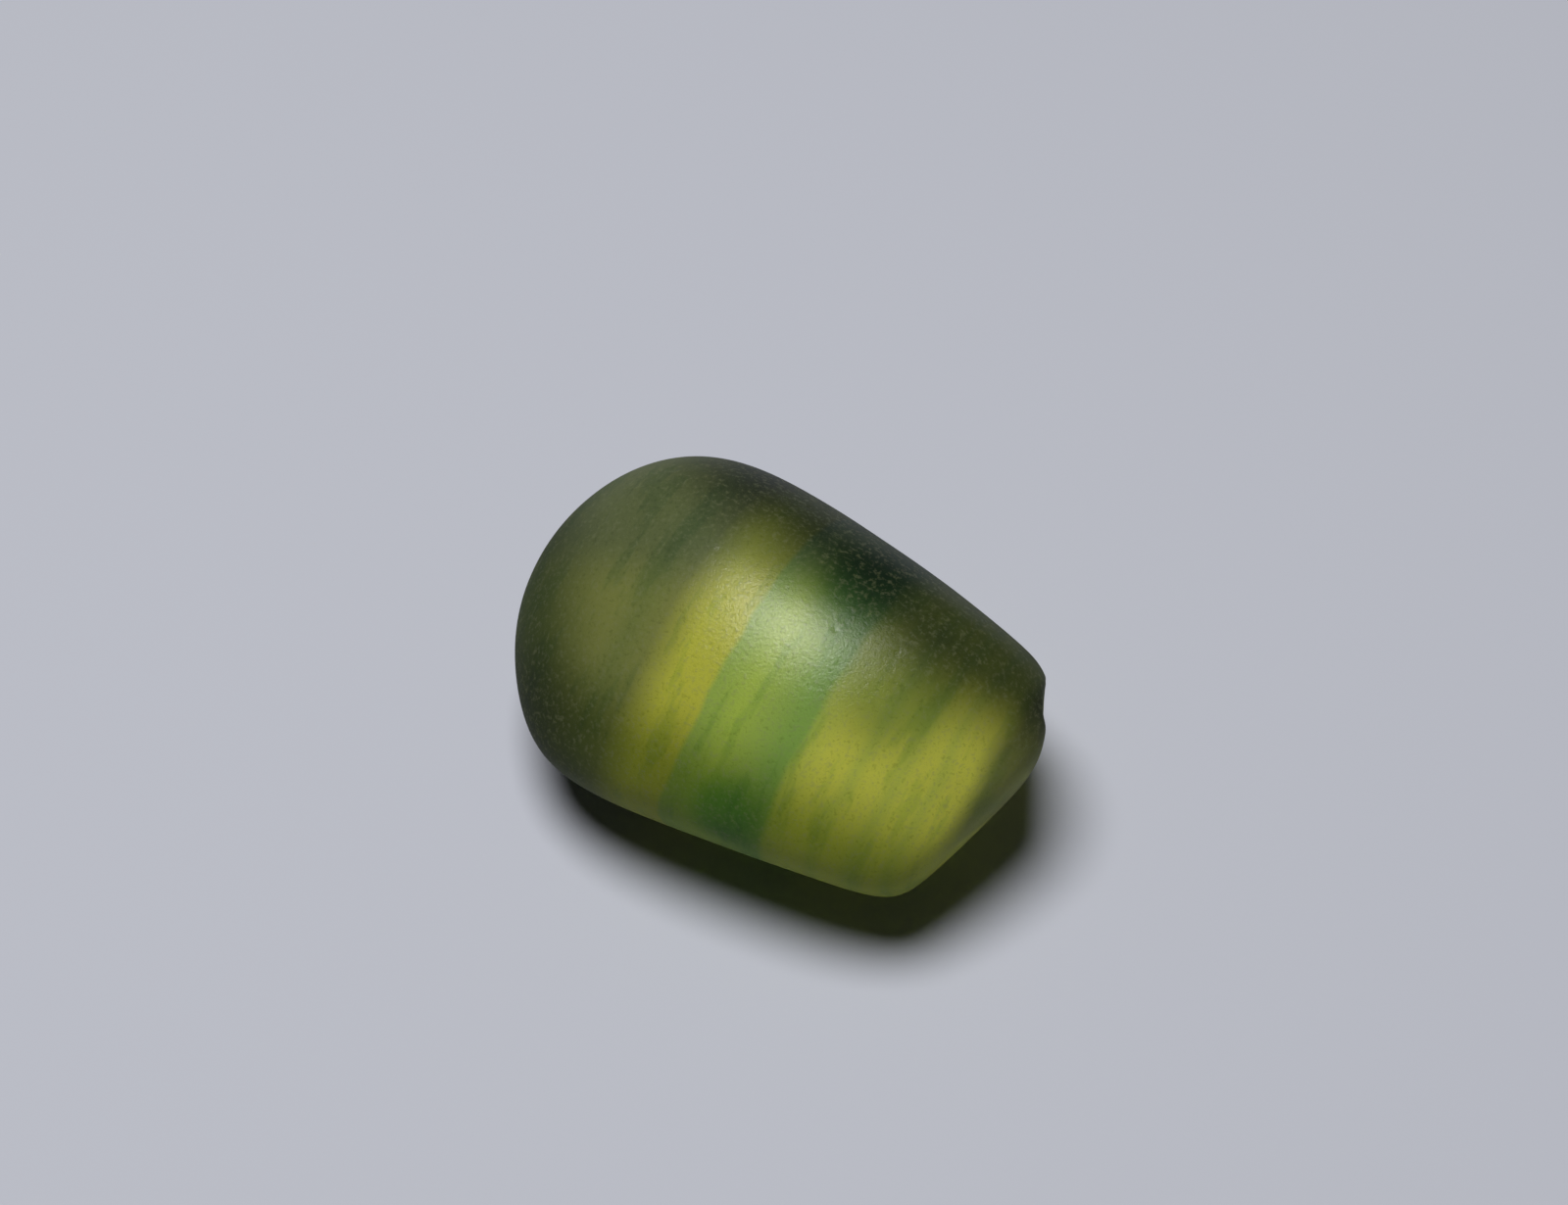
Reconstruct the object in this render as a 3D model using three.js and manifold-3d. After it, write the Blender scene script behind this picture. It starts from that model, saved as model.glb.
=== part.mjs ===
// A water-worn rough sapphire. It grew as one corundum crystal, a barrel that tapers towards one end,
// broke across that end, and was rolled in a river until it was almost round. It is one closed solid.
// Millimetres, +Z up: z = 0 is the surface that the stone lies on, the origin is under the middle of
// its box, and +X runs along the barrel to the broken end.

import * as THREE from 'three';
import { mergeVertices } from 'three/addons/utils/BufferGeometryUtils.js';
import Module from 'manifold-3d';

// Driving dimensions, in millimetres and degrees, measured from the middle of the stone

// How far down the flat is that the stone lies on
const RESTING_DEPTH = 2.44;

// The barrel: a round cone about a line that dips a little towards the broken end
const BARREL = { radius: 3.22, taper: 3.1, dip: 1.8 };

// The rounded thick end and the low crown of the upper side, both ellipsoids
const DOME = {
  halfSize: new THREE.Vector3(5.38, 3.94, 3.32),
  centre: new THREE.Vector3(0.61, -0.3, 0.68),
};
const CROWN = {
  halfSize: new THREE.Vector3(6, 6, 6),
  centre: new THREE.Vector3(0.08, 1.68, -2.56),
};

// Two faces of the crystal that still show as flats along the barrel. The bearing goes round the
// barrel from straight up, positive towards -Y. The lean turns a flat towards the broken end.
const BARREL_FLATS = {
  upperBack: { bearing: -61.7, lean: 13.5, distance: 3.27 },
  lowerFront: { bearing: 122, lean: 7.3, distance: 2.77 },
};

// How crisply those surfaces meet: river wear has rolled their edges round
const BARREL_CRISPNESS = 12;

// The two breaks across the thin end, with fresher and crisper edges. The turn goes from +X
// towards +Y, and the rise goes up.
const END_BREAKS = {
  lower: { turn: -11.6, rise: -19.2, distance: 4.08, crispness: 20 },
  upper: { turn: 27.8, rise: -4.5, distance: 4.47, crispness: 40 },
};

// The shallow chip in the upper edge of the broken end: an egg-shaped scoop that bites into it
const CHIP = {
  halfSize: new THREE.Vector3(0.75, 1.6, 0.75),
  centre: new THREE.Vector3(4.88, 1.77, 0.95),
  slant: -55,
  turn: 30.5,
};

// Steps along each edge of the icosahedra that the stone and the chip start from
const STONE_STEPS = 20;
const CHIP_STEPS = 9;

const STONE_COLOUR = 0x7c8a33;
const STONE_ROUGHNESS = 0.45;

const { sin, cos } = Math;
const radians = THREE.MathUtils.degToRad;

// The outward direction of a flat of the barrel
function flatNormal({ bearing, lean }) {
  const round = radians(bearing);
  const tilt = radians(lean);
  return new THREE.Vector3(sin(tilt), -sin(round) * cos(tilt), cos(round) * cos(tilt));
}

// The outward direction of a break at the thin end
function endDirection({ turn, rise }) {
  const round = radians(turn);
  const up = radians(rise);
  return new THREE.Vector3(cos(round) * cos(up), sin(round) * cos(up), sin(up));
}

const flatPlanes = Object.values(BARREL_FLATS).map((flat) => ({
  normal: flatNormal(flat),
  distance: flat.distance,
}));

const breakPlanes = Object.values(END_BREAKS).map((face) => ({
  normal: endDirection(face),
  distance: face.distance,
  crispness: face.crispness,
}));

const RESTING_PLANE = { normal: new THREE.Vector3(0, 0, -1), distance: RESTING_DEPTH };

// The closeness of a surface is one over the distance to it along a direction

function planeCloseness(direction, { normal, distance }) {
  return Math.max(0, direction.dot(normal) / distance);
}

function coneCloseness(direction, { radius, taper, dip }) {
  const axis = new THREE.Vector3(cos(radians(dip)), 0, -sin(radians(dip)));
  const along = direction.dot(axis);
  const across = Math.sqrt(Math.max(0, 1 - along ** 2));
  return Math.max(0, (across * cos(radians(taper)) + along * sin(radians(taper))) / radius);
}

function ellipsoidCloseness(direction, { halfSize, centre }) {
  const ray = direction.clone().divide(halfSize);
  const middle = centre.clone().divide(halfSize);
  const along = ray.dot(middle);
  const reach = along + Math.sqrt(along ** 2 + ray.lengthSq() * (1 - middle.lengthSq()));
  return ray.lengthSq() / reach;
}

// Surfaces that run into each other: the closest one wins, and edges round off as crispness falls
function meet(closenesses, crispness) {
  const total = closenesses.reduce((sum, closeness) => sum + closeness ** crispness, 0);
  return total ** (1 / crispness);
}

// Distance from the middle of the stone to its skin, which is cut off level at the resting flat
function stoneRadius(direction) {
  const surfaces = [
    coneCloseness(direction, BARREL),
    ellipsoidCloseness(direction, DOME),
    ellipsoidCloseness(direction, CROWN),
    ...flatPlanes.map((plane) => planeCloseness(direction, plane)),
  ];
  let skin = meet(surfaces, BARREL_CRISPNESS);
  for (const plane of breakPlanes) {
    skin = meet([skin, planeCloseness(direction, plane)], plane.crispness);
  }
  return 1 / Math.max(skin, planeCloseness(direction, RESTING_PLANE));
}

// A closed ball of triangles with shared corners, one millimetre in radius
function closedBall(steps) {
  const ball = new THREE.IcosahedronGeometry(1, steps);
  ball.deleteAttribute('normal');
  ball.deleteAttribute('uv');
  return mergeVertices(ball);
}

function rolledBarrel() {
  const barrel = closedBall(STONE_STEPS);
  const corners = barrel.getAttribute('position');
  const corner = new THREE.Vector3();
  for (let i = 0; i < corners.count; i += 1) {
    corner.fromBufferAttribute(corners, i).normalize();
    corner.multiplyScalar(stoneRadius(corner));
    corners.setXYZ(i, corner.x, corner.y, corner.z);
  }
  return barrel;
}

function chipScoop() {
  return closedBall(CHIP_STEPS)
    .scale(...CHIP.halfSize)
    .rotateX(radians(CHIP.slant))
    .rotateZ(radians(CHIP.turn))
    .translate(...CHIP.centre);
}

const wasm = await Module();
wasm.setup();

function toSolid(geometry) {
  const vertProperties = new Float32Array(geometry.getAttribute('position').array);
  const triVerts = new Uint32Array(geometry.getIndex().array);
  return new wasm.Manifold(new wasm.Mesh({ numProp: 3, vertProperties, triVerts }));
}

function toGeometry(solid) {
  const { vertProperties, triVerts } = solid.getMesh();
  const geometry = new THREE.BufferGeometry();
  geometry.setAttribute('position', new THREE.BufferAttribute(vertProperties, 3));
  geometry.setIndex(new THREE.BufferAttribute(triVerts, 1));
  return geometry;
}

// Moves the stone so that it stands on z = 0 with the origin under the middle of its box
function settle(geometry) {
  geometry.computeBoundingBox();
  const { min, max } = geometry.boundingBox;
  geometry.translate(-(min.x + max.x) / 2, -(min.y + max.y) / 2, -min.z);
  geometry.computeVertexNormals();
  return geometry;
}

const stone = toSolid(rolledBarrel()).subtract(toSolid(chipScoop()));

const sapphire = new THREE.Mesh(
  settle(toGeometry(stone)),
  new THREE.MeshStandardMaterial({ color: STONE_COLOUR, roughness: STONE_ROUGHNESS, metalness: 0 }),
);
sapphire.name = 'sapphire';

const roughSapphire = new THREE.Group();
roughSapphire.add(sapphire);

export default roughSapphire;
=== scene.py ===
"""The looks of a water-worn rough sapphire: its pitted skin and its see-through banded body, with
the pale floor that it lies on, the soft light above it and the camera."""

import math

import bmesh
import bpy
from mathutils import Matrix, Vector, noise


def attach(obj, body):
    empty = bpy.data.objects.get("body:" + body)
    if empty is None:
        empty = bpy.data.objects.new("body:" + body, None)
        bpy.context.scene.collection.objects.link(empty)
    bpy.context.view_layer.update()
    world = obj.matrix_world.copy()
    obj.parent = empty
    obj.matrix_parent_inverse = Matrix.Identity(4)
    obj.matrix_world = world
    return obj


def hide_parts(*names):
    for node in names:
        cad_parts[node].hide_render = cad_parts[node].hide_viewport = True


MM = 0.001

# The middle of the stone, which the growth bands and the view are measured from
STONE_MIDDLE = Vector((-0.064, 0.002, 2.44)) * MM

# The finer mesh of the skin
MERGE_DISTANCE = 0.02 * MM
SKIN_SUBDIVISIONS = 2
SMOOTHING_PASSES = 8
SMOOTHING_PULL = 0.5

# The worn skin: a low swell, and pits that river gravel has struck into it
SWELL_WIDTH = 1.3 * MM
SWELL_DEPTH = 0.02 * MM
PIT_SPACING = 0.42 * MM
PIT_RADIUS = 0.1 * MM
PIT_DEPTH = 0.014 * MM
PIT_SHARE = 0.45

# The smallest pit and the spread above it, in shares of the radius, and the step that shuffles them
SMALLEST_PIT = 0.6
PIT_SPREAD = 0.6
PIT_SHUFFLE = 7.3

# The wear starts and is full at these heights, so that the resting flat stays level
WEAR_START = 0.01 * MM
WEAR_FULL = 0.06 * MM

# The growth bands: planes across this axis, with places in millimetres from the stone's middle
BAND_AXIS = Vector((0.996, -0.034, -0.086)).normalized()
BAND_TURN = Vector((1, 0, 0)).rotation_difference(BAND_AXIS).to_euler()
BAND_REACH = 5.0
OLIVE = (0.34, 0.37, 0.09)
GOLD = (0.87, 0.87, 0.09)
YELLOW = (1.0, 1.0, 0.13)
YELLOW_GREEN = (0.80, 0.88, 0.13)
LIME = (0.67, 0.88, 0.12)
GREEN = (0.52, 0.74, 0.13)
MOSS = (0.27, 0.32, 0.08)
DEEP_GREEN = (0.38, 0.64, 0.12)
GROWTH_BANDS = (
    (-5.0, OLIVE),
    (-2.2, OLIVE),
    (-1.85, MOSS),
    (-1.4, OLIVE),
    (-0.8, GOLD),
    (-0.17, GOLD),
    (-0.09, GREEN),
    (0.45, LIME),
    (0.95, GREEN),
    (1.35, DEEP_GREEN),
    (1.52, DEEP_GREEN),
    (1.66, YELLOW_GREEN),
    (2.0, YELLOW),
    (2.3, YELLOW),
    (2.48, YELLOW_GREEN),
    (2.66, YELLOW),
    (2.9, YELLOW),
    (3.08, YELLOW_GREEN),
    (3.28, YELLOW),
    (3.45, YELLOW),
    (3.57, YELLOW_GREEN),
    (3.75, YELLOW),
    (3.95, YELLOW),
    (4.2, OLIVE),
    (5.0, OLIVE),
)
BAND_WAVER = 0.06
BAND_WAVER_WIDTH = 1.6 * MM
WAVER_DETAIL = 2.0
WAVER_FRAY = 0.5
WAVER_RANGE = (0.25, 0.75)

# Thin streaks along the bands
STREAK_SIZE = (0.36 * MM, 1.7 * MM, 1.7 * MM)
STREAK_TINT = (0.78, 0.86, 0.84)
STREAK_DETAIL = 3.0
STREAK_FRAY = 0.6
STREAK_RANGE = (0.52, 0.64)

# Sides of the stone painted darker, with direction, where it starts and is full, tint: painted shade
# on the top and back, at the thick end and on the lower front, partly also a darker blue-green
# colour zone
SHADED_SIDES = (
    (Vector((0.27, 0.75, 0.66)), (1.55 * MM, 3.0 * MM), (0.075, 0.095, 0.16)),
    (Vector((-0.35, 0.75, 0.66)), (1.35 * MM, 2.5 * MM), (0.55, 0.61, 0.95)),
    (Vector((-0.86, -0.51, 0.0)), (2.5 * MM, 3.9 * MM), (0.22, 0.29, 0.18)),
    (Vector((0.0, -0.85, -0.53)), (0.55 * MM, 1.95 * MM), (0.38, 0.43, 0.25)),
)

# Painted shade round the belly, by height: from the resting flat's edge to below the widest part. It
# also darkens the light that passes through the stone into its cast shadow
BELLY_SHADE_FOOT = (0.08 * MM, 0.3 * MM)
BELLY_SHADE_TOP = (0.75 * MM, 1.2 * MM)
BELLY_SHADE_TINT = (0.2, 0.22, 0.2)

# Dark patches on the stone: middle, size along the band axis and across it, tint. The second is
# painted shade over the upper right, beside the darker top; the first darkens a blue-green spot on
# the top, the third a green patch on the front
DARK_PATCHES = (
    (Vector((1.2, 1.0, 5.25)) * MM, (1.0 * MM, 1.7 * MM, 1.2 * MM), (0.25, 0.5, 0.42)),
    (Vector((2.5, -0.3, 4.8)) * MM, (1.5 * MM, 1.7 * MM, 1.3 * MM), (0.42, 0.5, 0.55)),
    (Vector((0.8, -2.9, 3.1)) * MM, (0.85 * MM, 1.2 * MM, 1.0 * MM), (0.42, 0.72, 0.6)),
)

# Where a patch starts to fade and ends, in shares of its size
PATCH_EDGE = (0.3, 1.0)

# Corundum, with a cloudy share that is not clear
CORUNDUM_IOR = 1.77
CLEARNESS = 0.56
ABSORPTION_COLOUR = (0.85, 0.87, 0.5, 1.0)
ABSORPTION_PER_METRE = 40.0

# The frosted skin, rough and with little gloss of its own
SKIN_ROUGHNESS = (0.68, 0.88)
SKIN_GLOSS = 0.1
GLOSS_TINT = (0.2, 0.21, 0.19, 1.0)

# The thin polish: its strength low down and on the crown, and the heights between
POLISH = (0.02, 0.125)
POLISH_HEIGHT = (3.5 * MM, 4.9 * MM)
POLISH_ROUGHNESS = 0.19
POLISH_IOR = 2.4

# The grain of the skin, with the grain values that turn rough, dark or pale; the pale specks are
# painted glints on the frosted skin
GRAIN_SIZE = 0.085 * MM
GRAIN_DETAIL = 5.0
GRAIN_FRAY = 0.7
GRAIN_DEPTH = 0.009 * MM
ROUGHNESS_GRAIN = (0.3, 0.7)
SPECK_GRAIN = (0.34, 0.46)
SPECK_TINT = (0.76, 0.78, 0.74)
GLINT_GRAIN = (0.5, 0.66)
GLINT_SHARE = 0.3
GLINT_COLOUR = (0.38, 0.4, 0.22)

# The photo's frame and the view of the stone in it
FRAME_WIDTH = 1600
FRAME_HEIGHT = 1230
PIXELS_PER_MM = 62.0
MIDDLE_PIXEL = (786.0, 700.7)
VIEW_AZIMUTH = 31.0
VIEW_ELEVATION = 55.0
LENS = 100.0
SENSOR = 36.0
NEAREST_SEEN = 1 * MM
FARTHEST_SEEN = 10.0

# The floor and the light
FLOOR_SIZE = 400 * MM
FLOOR_GAP = 0.02 * MM
FLOOR_COLOUR = (0.56, 0.575, 0.64, 1.0)
FLOOR_ROUGHNESS = 0.9
FLOOR_GLOSS = 0.2
LIGHT_HEIGHT = 160 * MM
LIGHT_WIDTH = 74 * MM
LIGHT_LEAN = Vector((-0.1, -0.078, 1.0))
LIGHT_POWER = 0.228
ROOM_COLOUR = (0.9, 0.93, 1.0, 1.0)
ROOM_STRENGTH = 0.015

# How often light may bounce in the stone
ALL_BOUNCES = 24
GLOSSY_BOUNCES = 16
CLEAR_BOUNCES = 24

# Socket numbers of a Mix node that mixes colours
MIX_AMOUNT = 0
MIX_COLOUR = 6
MIX_TINT = 7
MIX_RESULT = 2


def link_object(name, mesh):
    """A new object in the scene."""
    piece = bpy.data.objects.new(name, mesh)
    bpy.context.scene.collection.objects.link(piece)
    return piece


# The stone's skin

def fine_copy(cad_mesh):
    """A merged, finer and smoother copy of the solid's mesh."""
    skin = bmesh.new()
    skin.from_mesh(cad_mesh)
    bmesh.ops.remove_doubles(skin, verts=skin.verts, dist=MERGE_DISTANCE)
    bmesh.ops.dissolve_degenerate(skin, edges=skin.edges, dist=MERGE_DISTANCE)
    bmesh.ops.triangulate(skin, faces=skin.faces[:])
    for _ in range(SKIN_SUBDIVISIONS):
        bmesh.ops.subdivide_edges(skin, edges=skin.edges[:], cuts=1, use_grid_fill=True)
    for _ in range(SMOOTHING_PASSES):
        bmesh.ops.smooth_vert(
            skin,
            verts=skin.verts[:],
            factor=SMOOTHING_PULL,
            use_axis_x=True,
            use_axis_y=True,
            use_axis_z=True,
        )
    return skin


def pit_depth(place):
    """How deep a pit is at a place: only a share of the cells has one."""
    distances, points = noise.voronoi(place / PIT_SPACING)
    nearest = points[0]
    chance = abs(noise.cell(nearest * PIT_SHUFFLE))
    if chance > PIT_SHARE:
        return 0.0
    radius = PIT_RADIUS / PIT_SPACING * (SMALLEST_PIT + PIT_SPREAD * chance / PIT_SHARE)
    nearness = max(0.0, 1.0 - distances[0] / radius)
    return PIT_DEPTH * nearness * nearness * (3 - 2 * nearness)


def swell_depth(place):
    """How far the low swell sinks the skin at a place."""
    return SWELL_DEPTH * (0.5 + 0.5 * noise.noise(place / SWELL_WIDTH))


def wear_skin(skin):
    """Sinks the swell and the pits into the skin, and leaves the resting flat level."""
    skin.normal_update()
    sunk = []
    for vert in skin.verts:
        place = vert.co.copy()
        depth = swell_depth(place) + pit_depth(place)
        fade = min(1.0, max(0.0, (place.z - WEAR_START) / (WEAR_FULL - WEAR_START)))
        sunk.append(place - vert.normal * depth * fade)
    for vert, place in zip(skin.verts, sunk):
        vert.co = place


def make_stone(cad_node):
    """The worn stone, made from the mesh of the solid that it stands for."""
    skin = fine_copy(cad_node.data)
    wear_skin(skin)
    mesh = bpy.data.meshes.new("worn_stone")
    skin.to_mesh(mesh)
    skin.free()
    mesh.shade_smooth()
    mesh.materials.append(corundum())
    return link_object("worn_stone", mesh)


# Materials

def new_material(name):
    """A new material, with its nodes, its links and its main shader."""
    material = bpy.data.materials.new(name)
    material.use_nodes = True
    nodes = material.node_tree.nodes
    return material, nodes, material.node_tree.links, nodes["Principled BSDF"]


def vector_node(nodes, operation, value):
    """The difference or the product of a vector and a fixed one."""
    node = nodes.new("ShaderNodeVectorMath")
    node.operation = operation
    node.inputs[1].default_value = value
    return node


def noise_node(nodes, scale, detail, roughness):
    """Soft noise, with about as many swells in one unit of its places as the scale says."""
    node = nodes.new("ShaderNodeTexNoise")
    node.inputs["Scale"].default_value = scale
    node.inputs["Detail"].default_value = detail
    node.inputs["Roughness"].default_value = roughness
    return node


def range_node(nodes, start, end, low, high):
    """Turns values between start and end smoothly into values between low and high."""
    node = nodes.new("ShaderNodeMapRange")
    node.interpolation_type = "SMOOTHSTEP"
    node.inputs["From Min"].default_value = start
    node.inputs["From Max"].default_value = end
    node.inputs["To Min"].default_value = low
    node.inputs["To Max"].default_value = high
    return node


def mapping_node(nodes, links, place, middle, size):
    """Places counted from a middle, in units of a size for each axis. The first axis runs across
    the growth bands."""
    node = nodes.new("ShaderNodeMapping")
    node.vector_type = "TEXTURE"
    node.inputs["Location"].default_value = middle
    node.inputs["Rotation"].default_value = BAND_TURN
    node.inputs["Scale"].default_value = size
    links.new(place, node.inputs["Vector"])
    return node.outputs["Vector"]


def blend_colour(nodes, links, blend, colour, amount, tint):
    """Mixes a colour with a tint, as far as the amount goes."""
    node = nodes.new("ShaderNodeMix")
    node.data_type = "RGBA"
    node.blend_type = blend
    links.new(amount, node.inputs[MIX_AMOUNT])
    links.new(colour, node.inputs[MIX_COLOUR])
    node.inputs[MIX_TINT].default_value = (*tint, 1.0)
    return node.outputs[MIX_RESULT]


def multiply_colour(nodes, links, colour, amount, tint):
    """Darkens a colour by a tint, as far as the amount goes."""
    return blend_colour(nodes, links, "MULTIPLY", colour, amount, tint)


def fill_ramp(ramp, stops):
    """Puts the bands on a colour ramp, from one reach of the axis to the other."""
    elements = ramp.color_ramp.elements
    while len(elements) > 1:
        elements.remove(elements[-1])
    for number, (place, colour) in enumerate(stops):
        position = 0.5 + 0.5 * place / BAND_REACH
        element = elements[0] if number == 0 else elements.new(position)
        element.position = position
        element.color = (*colour, 1.0)


def band_places(nodes, links, place, size):
    """Places in the stone's own growth, counted from its middle."""
    return mapping_node(nodes, links, place, STONE_MIDDLE, size)


def growth_bands(nodes, links, place):
    """The colour of the growth bands, whose planes waver a little."""
    across = nodes.new("ShaderNodeSeparateXYZ")
    links.new(band_places(nodes, links, place, (MM, MM, MM)), across.inputs["Vector"])
    waver = noise_node(nodes, 1 / BAND_WAVER_WIDTH, WAVER_DETAIL, WAVER_FRAY)
    links.new(place, waver.inputs["Vector"])
    shift = range_node(nodes, *WAVER_RANGE, -BAND_WAVER, BAND_WAVER)
    links.new(waver.outputs["Fac"], shift.inputs["Value"])
    distance = nodes.new("ShaderNodeMath")
    distance.operation = "ADD"
    links.new(across.outputs["X"], distance.inputs[0])
    links.new(shift.outputs["Result"], distance.inputs[1])
    position = nodes.new("ShaderNodeMapRange")
    position.inputs["From Min"].default_value = -BAND_REACH
    position.inputs["From Max"].default_value = BAND_REACH
    links.new(distance.outputs["Value"], position.inputs["Value"])
    bands = nodes.new("ShaderNodeValToRGB")
    fill_ramp(bands, GROWTH_BANDS)
    links.new(position.outputs["Result"], bands.inputs["Fac"])
    return bands.outputs["Color"]


def thin_streaks(nodes, links, place, colour):
    """Thin, broken, darker layers between the growth bands."""
    layers = noise_node(nodes, 1.0, STREAK_DETAIL, STREAK_FRAY)
    links.new(band_places(nodes, links, place, STREAK_SIZE), layers.inputs["Vector"])
    amount = range_node(nodes, *STREAK_RANGE, 0.0, 1.0)
    links.new(layers.outputs["Fac"], amount.inputs["Value"])
    return multiply_colour(nodes, links, colour, amount.outputs["Result"], STREAK_TINT)


def shaded_side(nodes, links, place, colour, direction, reach, tint):
    """A side of the stone painted darker: painted shade, partly also a darker colour zone."""
    centred = vector_node(nodes, "SUBTRACT", STONE_MIDDLE)
    links.new(place, centred.inputs[0])
    distance = vector_node(nodes, "DOT_PRODUCT", direction)
    links.new(centred.outputs["Vector"], distance.inputs[0])
    amount = range_node(nodes, *reach, 0.0, 1.0)
    links.new(distance.outputs["Value"], amount.inputs["Value"])
    return multiply_colour(nodes, links, colour, amount.outputs["Result"], tint)


def height_above_floor(nodes, links, place):
    """How high a place is above the surface that the stone lies on."""
    split = nodes.new("ShaderNodeSeparateXYZ")
    links.new(place, split.inputs["Vector"])
    return split.outputs["Z"]


def painted_belly_shade(nodes, links, place, colour):
    """Painted shade round the underside, clear of the resting flat, which also darkens the cast
    shadow.
    """
    height = height_above_floor(nodes, links, place)
    above = range_node(nodes, *BELLY_SHADE_FOOT, 0.0, 1.0)
    links.new(height, above.inputs["Value"])
    below = range_node(nodes, *BELLY_SHADE_TOP, 1.0, 0.0)
    links.new(height, below.inputs["Value"])
    amount = nodes.new("ShaderNodeMath")
    amount.operation = "MULTIPLY"
    links.new(above.outputs["Result"], amount.inputs[0])
    links.new(below.outputs["Result"], amount.inputs[1])
    return multiply_colour(nodes, links, colour, amount.outputs["Value"], BELLY_SHADE_TINT)


def dark_patch(nodes, links, place, colour, middle, size, tint):
    """A soft-edged dark patch on the stone: some paint shade, others darken a spot of colour."""
    inside = nodes.new("ShaderNodeVectorMath")
    inside.operation = "LENGTH"
    links.new(mapping_node(nodes, links, place, middle, size), inside.inputs[0])
    amount = range_node(nodes, *PATCH_EDGE, 1.0, 0.0)
    links.new(inside.outputs["Value"], amount.inputs["Value"])
    return multiply_colour(nodes, links, colour, amount.outputs["Result"], tint)


def specks_and_glints(nodes, links, grain, colour):
    """Fine dark specks where the grain is low, and pale specks where it is high, which paint glints
    on the frosted skin.
    """
    specks = range_node(nodes, *SPECK_GRAIN, 1.0, 0.0)
    links.new(grain, specks.inputs["Value"])
    colour = multiply_colour(nodes, links, colour, specks.outputs["Result"], SPECK_TINT)
    glint = range_node(nodes, *GLINT_GRAIN, 0.0, GLINT_SHARE)
    links.new(grain, glint.inputs["Value"])
    return blend_colour(nodes, links, "MIX", colour, glint.outputs["Result"], GLINT_COLOUR)


def colour_with_painted_shade(nodes, links, place, grain):
    """The bands, darkened by streaks, by darker sides and patches that are largely painted shade,
    and by painted shade round the belly, under the dark specks and painted glints of the skin.
    """
    colour = growth_bands(nodes, links, place)
    colour = thin_streaks(nodes, links, place, colour)
    # Painted shade on the top and back, at the thick end and on the lower front
    for side in SHADED_SIDES:
        colour = shaded_side(nodes, links, place, colour, *side)
    # Painted shade over the upper right, and darker spots of colour
    for patch in DARK_PATCHES:
        colour = dark_patch(nodes, links, place, colour, *patch)
    # Painted shade round the belly, which also darkens the cast shadow
    colour = painted_belly_shade(nodes, links, place, colour)
    return specks_and_glints(nodes, links, grain, colour)


def frosted_grain(nodes, links, grain, shader):
    """Fine grain in the skin's gloss and relief."""
    gloss = range_node(nodes, *ROUGHNESS_GRAIN, *SKIN_ROUGHNESS)
    links.new(grain, gloss.inputs["Value"])
    links.new(gloss.outputs["Result"], shader.inputs["Roughness"])
    relief = nodes.new("ShaderNodeBump")
    relief.inputs["Strength"].default_value = 1.0
    relief.inputs["Distance"].default_value = GRAIN_DEPTH
    links.new(grain, relief.inputs["Height"])
    links.new(relief.outputs["Normal"], shader.inputs["Normal"])
    links.new(relief.outputs["Normal"], shader.inputs["Coat Normal"])


def worn_polish(nodes, links, place, shader):
    """A thin polish that wear has left on the crown, with hardly any lower down."""
    height = height_above_floor(nodes, links, place)
    amount = range_node(nodes, *POLISH_HEIGHT, *POLISH)
    links.new(height, amount.inputs["Value"])
    links.new(amount.outputs["Result"], shader.inputs["Coat Weight"])
    shader.inputs["Coat Roughness"].default_value = POLISH_ROUGHNESS
    shader.inputs["Coat IOR"].default_value = POLISH_IOR


def corundum():
    """Frosted see-through crystal with colour bands across its length."""
    material, nodes, links, shader = new_material("corundum")
    place = nodes.new("ShaderNodeTexCoord").outputs["Object"]
    grain = noise_node(nodes, 1 / GRAIN_SIZE, GRAIN_DETAIL, GRAIN_FRAY)
    links.new(place, grain.inputs["Vector"])
    links.new(colour_with_painted_shade(nodes, links, place, grain.outputs["Fac"]), shader.inputs["Base Color"])
    frosted_grain(nodes, links, grain.outputs["Fac"], shader)
    shader.inputs["Transmission Weight"].default_value = CLEARNESS
    shader.inputs["IOR"].default_value = CORUNDUM_IOR
    shader.inputs["Specular Tint"].default_value = GLOSS_TINT
    shader.inputs["Specular IOR Level"].default_value = SKIN_GLOSS
    worn_polish(nodes, links, place, shader)
    body = nodes.new("ShaderNodeVolumeAbsorption")
    body.inputs["Color"].default_value = ABSORPTION_COLOUR
    body.inputs["Density"].default_value = ABSORPTION_PER_METRE
    links.new(body.outputs["Volume"], nodes["Material Output"].inputs["Volume"])
    return material


def pale_floor():
    """The plain, pale and nearly matt surface of the floor."""
    material, _, _, shader = new_material("pale_floor")
    shader.inputs["Base Color"].default_value = FLOOR_COLOUR
    shader.inputs["Roughness"].default_value = FLOOR_ROUGHNESS
    shader.inputs["Specular IOR Level"].default_value = FLOOR_GLOSS
    return material


# The floor, the light and the camera

def make_floor():
    """A level square, a hair below the stone."""
    ground = bmesh.new()
    bmesh.ops.create_grid(ground, x_segments=1, y_segments=1, size=FLOOR_SIZE / 2)
    bmesh.ops.translate(ground, verts=ground.verts, vec=(0, 0, -FLOOR_GAP))
    mesh = bpy.data.meshes.new("floor")
    ground.to_mesh(mesh)
    ground.free()
    mesh.materials.append(pale_floor())
    return link_object("floor", mesh)


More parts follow.
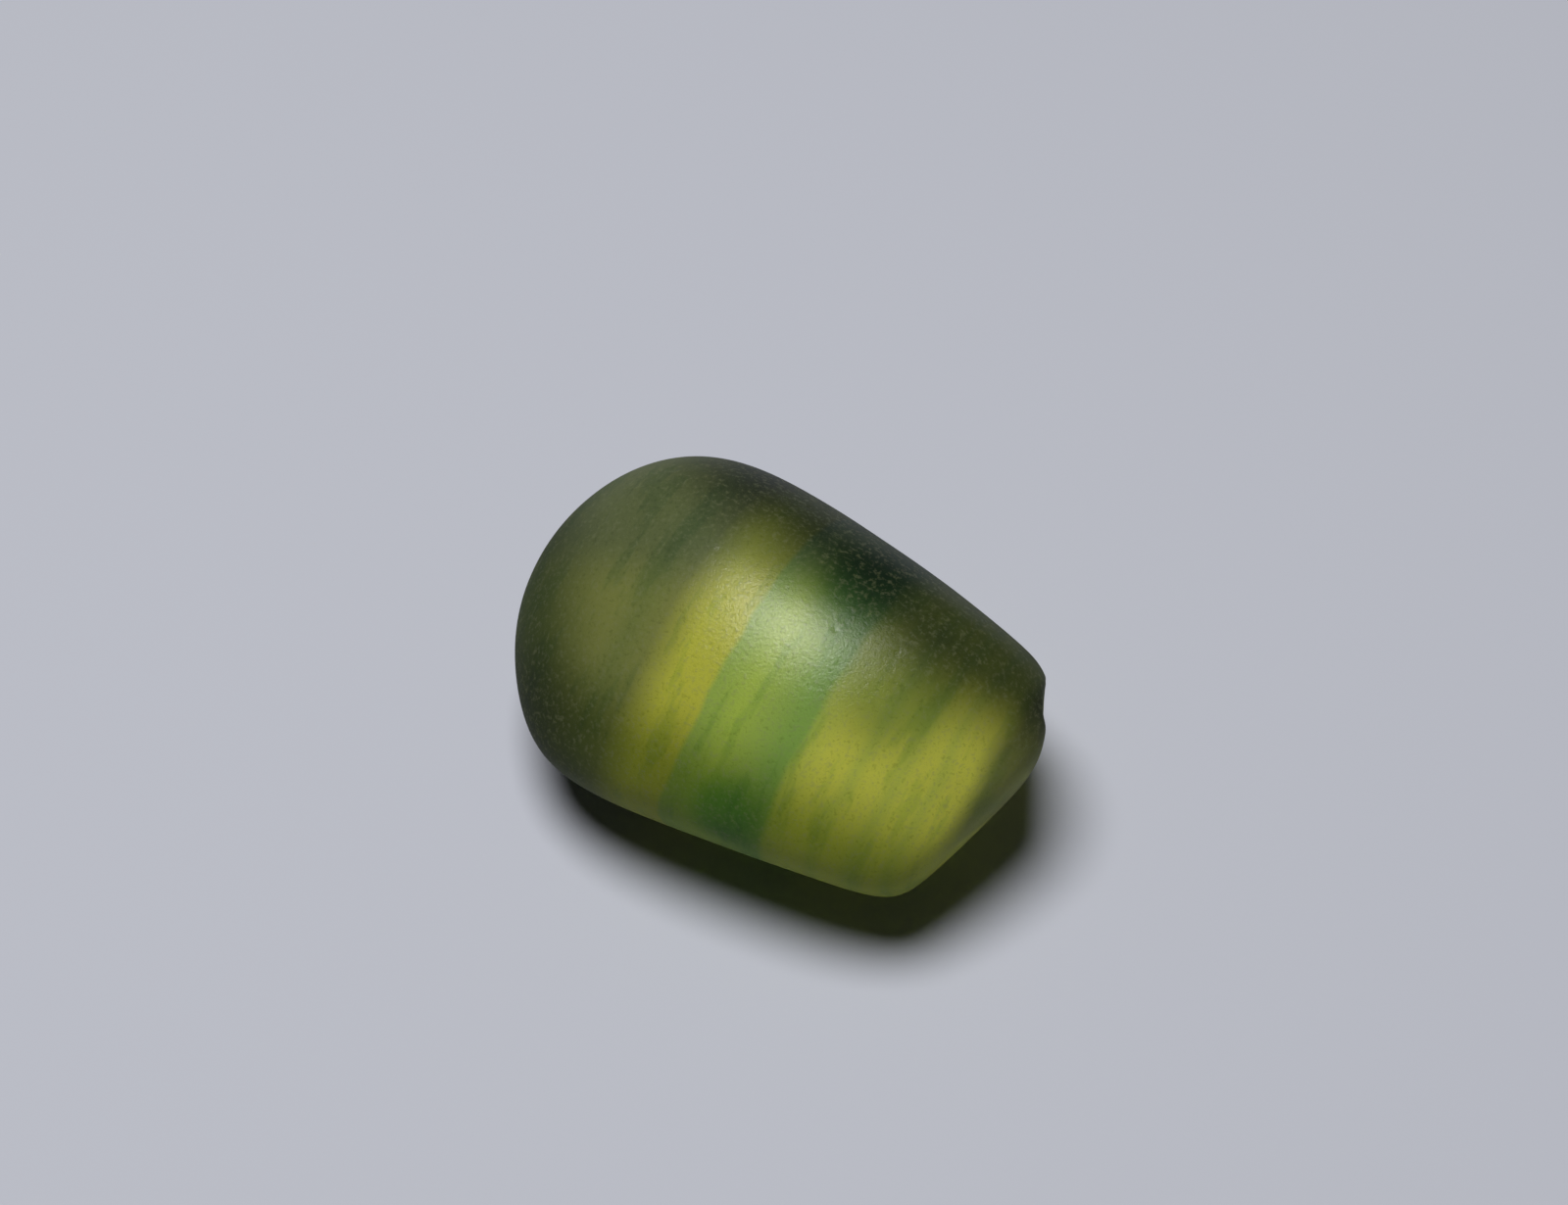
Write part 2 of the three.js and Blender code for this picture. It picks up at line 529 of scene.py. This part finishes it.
def make_soft_light():
    """A round soft light above the stone, a little to one side, that faces it."""
    lamp = bpy.data.lights.new("soft_light", "AREA")
    lamp.shape = "DISK"
    lamp.size = LIGHT_WIDTH
    lamp.energy = LIGHT_POWER
    light = bpy.data.objects.new("soft_light", lamp)
    light.location = LIGHT_LEAN.normalized() * LIGHT_HEIGHT
    light.rotation_euler = LIGHT_LEAN.to_track_quat("Z", "Y").to_euler()
    bpy.context.scene.collection.objects.link(light)


def make_room_light():
    """The weak light that comes from all round."""
    world = bpy.data.worlds.new("room")
    world.use_nodes = True
    background = world.node_tree.nodes["Background"]
    background.inputs["Color"].default_value = ROOM_COLOUR
    background.inputs["Strength"].default_value = ROOM_STRENGTH
    bpy.context.scene.world = world


def make_camera():
    """The photo's view: the stone's middle falls on its own pixel of the frame."""
    azimuth = math.radians(VIEW_AZIMUTH)
    elevation = math.radians(VIEW_ELEVATION)
    towards = Vector((
        math.sin(azimuth) * math.cos(elevation),
        -math.cos(azimuth) * math.cos(elevation),
        math.sin(elevation),
    ))
    lens = bpy.data.cameras.new("camera")
    lens.lens = LENS
    lens.sensor_width = SENSOR
    lens.sensor_fit = "HORIZONTAL"
    lens.clip_start = NEAREST_SEEN
    lens.clip_end = FARTHEST_SEEN
    lens.shift_x = (FRAME_WIDTH / 2 - MIDDLE_PIXEL[0]) / FRAME_WIDTH
    lens.shift_y = (MIDDLE_PIXEL[1] - FRAME_HEIGHT / 2) / FRAME_WIDTH
    distance = FRAME_WIDTH * LENS / SENSOR / PIXELS_PER_MM * MM
    camera = bpy.data.objects.new("camera", lens)
    camera.location = STONE_MIDDLE + towards * distance
    camera.rotation_euler = towards.to_track_quat("Z", "Y").to_euler()
    bpy.context.scene.collection.objects.link(camera)
    bpy.context.scene.camera = camera


def set_light_paths():
    """Plain colours, and enough bounces for light to find its way through the stone."""
    scene = bpy.context.scene
    scene.view_settings.view_transform = "Standard"
    scene.cycles.max_bounces = ALL_BOUNCES
    scene.cycles.glossy_bounces = GLOSSY_BOUNCES
    scene.cycles.transmission_bounces = CLEAR_BOUNCES


bpy.ops.wm.read_factory_settings(use_empty=True)
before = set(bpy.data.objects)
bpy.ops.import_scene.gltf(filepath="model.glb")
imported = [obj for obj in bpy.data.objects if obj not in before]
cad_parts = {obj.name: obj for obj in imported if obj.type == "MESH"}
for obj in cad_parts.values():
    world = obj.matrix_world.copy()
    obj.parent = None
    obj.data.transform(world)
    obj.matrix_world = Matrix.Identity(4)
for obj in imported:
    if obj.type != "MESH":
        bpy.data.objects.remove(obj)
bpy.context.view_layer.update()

stone = make_stone(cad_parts["sapphire"])
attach(stone, "root")
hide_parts("sapphire")

make_floor()
make_soft_light()
make_room_light()
make_camera()
set_light_paths()
